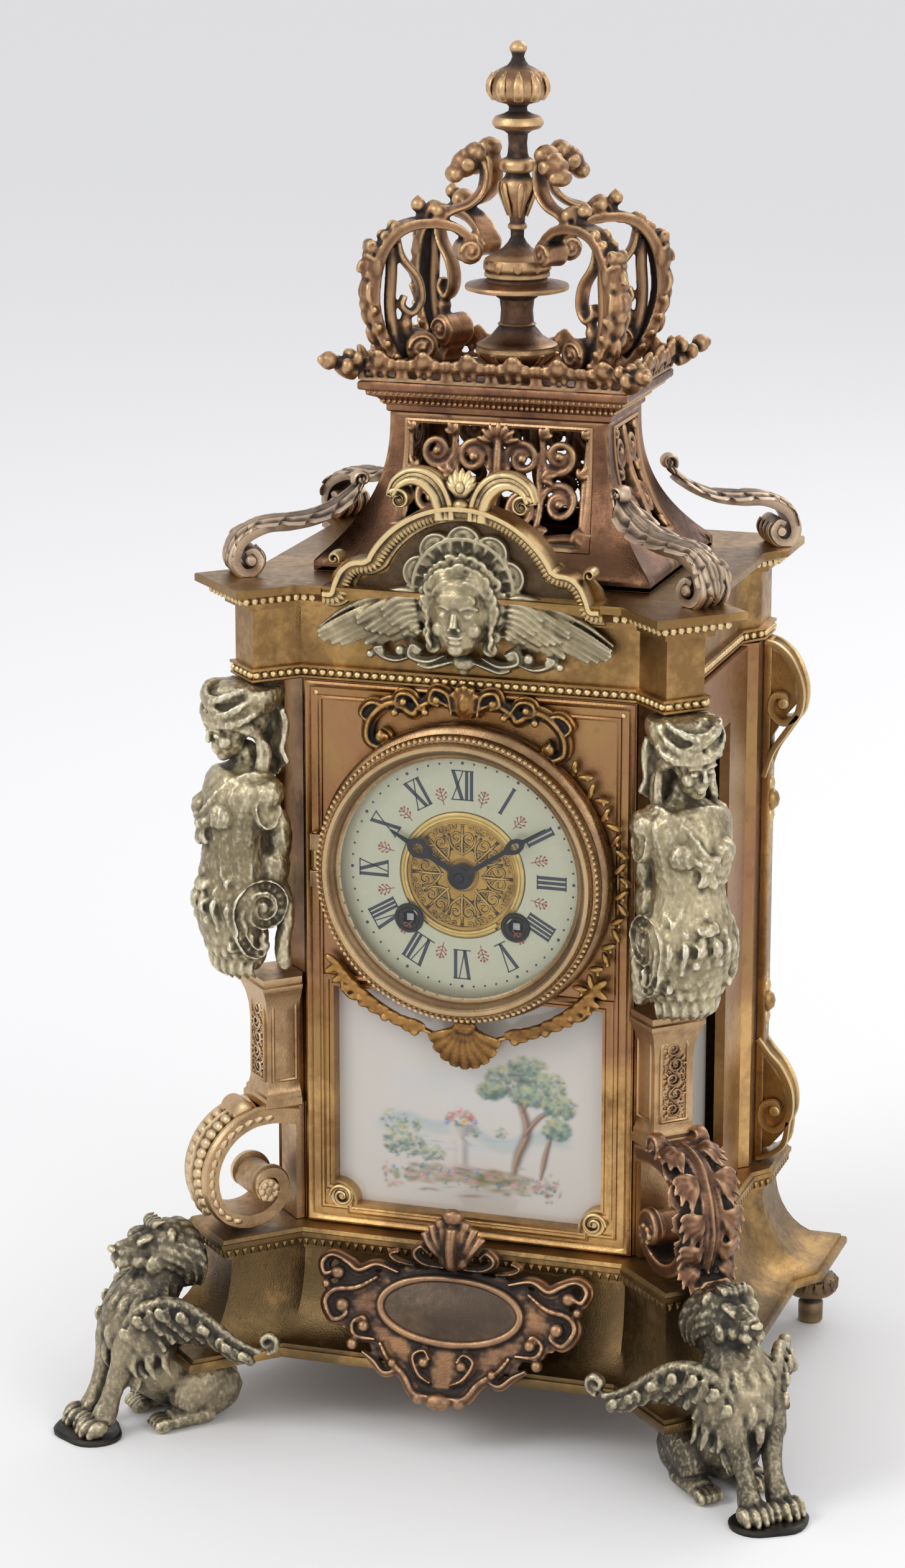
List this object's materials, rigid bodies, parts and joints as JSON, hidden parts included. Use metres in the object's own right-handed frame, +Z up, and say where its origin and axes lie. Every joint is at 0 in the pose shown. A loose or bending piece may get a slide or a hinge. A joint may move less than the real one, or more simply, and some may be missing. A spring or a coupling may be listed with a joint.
{
  "type": "mantel clock",
  "caption": "Gilt metal mantel clock on winged-lion feet, with porcelain panels, enamel dial, herm figures at the corners, pierced roof and open crown finial.",
  "frame": {"origin": "on the floor under the middle of the whole clock's bounding box", "axes": "+Z up, the dial faces -Y, +X to the right of someone who faces the dial"},
  "size_m": [0.2986, 0.23, 0.5274],
  "materials": {
    "gilt_brass": "worn mercury-gilt cast brass with brown patina in the recesses",
    "copper_bronze": "copper-red worn gilt bronze",
    "crown_bronze": "brown bronze with traces of gilding",
    "dark_bronze": "dark brown cast bronze",
    "silvered_metal": "pale champagne silvered cast metal with dark patina in the recesses",
    "porcelain": "glossy white glaze with a painted scene",
    "enamel": "cream enamel, softly glossy",
    "engraved_gilt": "engraved matt gilt",
    "glass": "clear flat glass",
    "blued_steel": "dark blued steel",
    "movement_brass": "plain rolled brass, lightly tarnished",
    "steel": "plain turned steel",
    "bell_metal": "silvered bell metal"
  },
  "bodies": {
    "case": {"base_plinth": "gilt_brass", "base_top_plate": "gilt_brass", "front_frame": "gilt_brass", "dial_crest": "gilt_brass", "dial_shell": "gilt_brass", "frieze": "gilt_brass", "cornice": "gilt_brass", "pediment": "gilt_brass", "corner_volute_left": "gilt_brass", "pedestal_left": "gilt_brass", "pedestal_right": "gilt_brass", "rear_console_left": "gilt_brass", "rear_console_right": "gilt_brass", "side_frame_left": "gilt_brass", "side_frame_right": "gilt_brass", "front_cartouche": "copper_bronze", "corner_volute_right": "copper_bronze", "pierced_roof": "copper_bronze", "gallery_plate": "copper_bronze", "roof_leaf_front_left": "copper_bronze", "roof_leaf_front_right": "copper_bronze", "roof_leaf_rear_left": "copper_bronze", "roof_leaf_rear_right": "copper_bronze", "gallery_rail": "crown_bronze", "crown_vase": "crown_bronze", "crown_bracket_front_left": "crown_bronze", "crown_bracket_front_right": "crown_bronze", "crown_bracket_rear_left": "crown_bronze", "crown_bracket_rear_right": "crown_bronze", "rear_foot_left": "dark_bronze", "rear_foot_right": "dark_bronze", "lion_foot_left": "silvered_metal", "lion_foot_right": "silvered_metal", "caryatid_left": "silvered_metal", "caryatid_right": "silvered_metal", "winged_mask": "silvered_metal", "porcelain_left": "porcelain", "porcelain_right": "porcelain", "porcelain_front": "porcelain", "dial_ring": "enamel", "dial_centre": "engraved_gilt", "dial_plate": "movement_brass", "back_frame": "movement_brass", "movement_front_plate": "movement_brass", "movement_back_plate": "movement_brass", "bell": "bell_metal"},
    "bezel": {"bezel": "gilt_brass", "bezel_glass": "glass"},
    "rear_door": {"rear_door": "movement_brass"},
    "minute_arbor": {"minute_hand": "blued_steel", "centre_wheel": "movement_brass"},
    "hour_pipe": {"hour_hand": "blued_steel"},
    "going_barrel": {"barrel_right": "movement_brass"},
    "striking_barrel": {"barrel_left": "movement_brass"},
    "winding_arbor_left": {"winding_arbor_left": "steel"},
    "winding_arbor_right": {"winding_arbor_right": "steel"},
    "escape_wheel": {"escape_wheel": "movement_brass"},
    "anchor": {"anchor": "steel"},
    "pendulum": {"pendulum": "movement_brass"},
    "hammer": {"hammer": "steel"}
  },
  "joints": [
    {"name": "bezel_hinge", "type": "hinge", "parent": "case", "child": "bezel", "pos_m": [-0.0604, -0.04491, 0.2226], "axis": [0, 0, -1], "range_deg": [0, 52]},
    {"name": "rear_door_hinge", "type": "hinge", "parent": "case", "child": "rear_door", "pos_m": [-0.0448, 0.08819, 0.184], "axis": [0, 0, 1], "range_deg": [0, 110]},
    {"name": "minute_turn", "type": "hinge", "parent": "case", "child": "minute_arbor", "pos_m": [0, -0.04301, 0.2226], "axis": [0, 1, 0], "continuous": true},
    {"name": "hour_turn", "type": "hinge", "parent": "case", "child": "hour_pipe", "pos_m": [0, -0.04301, 0.2226], "axis": [0, 1, 0], "continuous": true},
    {"name": "going_barrel_turn", "type": "hinge", "parent": "case", "child": "going_barrel", "pos_m": [0.021, -0.01601, 0.2041], "axis": [0, 1, 0], "continuous": true},
    {"name": "striking_barrel_turn", "type": "hinge", "parent": "case", "child": "striking_barrel", "pos_m": [-0.021, -0.01601, 0.2041], "axis": [0, 1, 0], "continuous": true},
    {"name": "winding_left", "type": "hinge", "parent": "case", "child": "winding_arbor_left", "pos_m": [-0.021, -0.02301, 0.2041], "axis": [0, 1, 0], "range_deg": [0, 1800]},
    {"name": "winding_right", "type": "hinge", "parent": "case", "child": "winding_arbor_right", "pos_m": [0.021, -0.02301, 0.2041], "axis": [0, 1, 0], "range_deg": [0, 1800]},
    {"name": "escape_turn", "type": "hinge", "parent": "case", "child": "escape_wheel", "pos_m": [0, -0.00301, 0.2446], "axis": [0, 1, 0], "continuous": true},
    {"name": "pendulum_swing", "type": "hinge", "parent": "case", "child": "pendulum", "pos_m": [0, 0.01399, 0.2586], "axis": [0, 1, 0], "range_deg": [-4, 4]},
    {"name": "anchor_rock", "type": "hinge", "parent": "case", "child": "anchor", "pos_m": [0, -0.00301, 0.2586], "axis": [0, 1, 0], "range_deg": [-4, 4]},
    {"name": "hammer_lift", "type": "hinge", "parent": "case", "child": "hammer", "pos_m": [-0.0364, 0.03299, 0.1986], "axis": [0, 1, 0], "range_deg": [-20, 5]}
  ],
  "couplings": [
    {"joint": "hour_turn", "follows": "minute_turn", "ratio": 0.083333},
    {"joint": "going_barrel_turn", "follows": "minute_turn", "ratio": -0.44211},
    {"joint": "anchor_rock", "follows": "pendulum_swing", "ratio": 1}
  ]
}
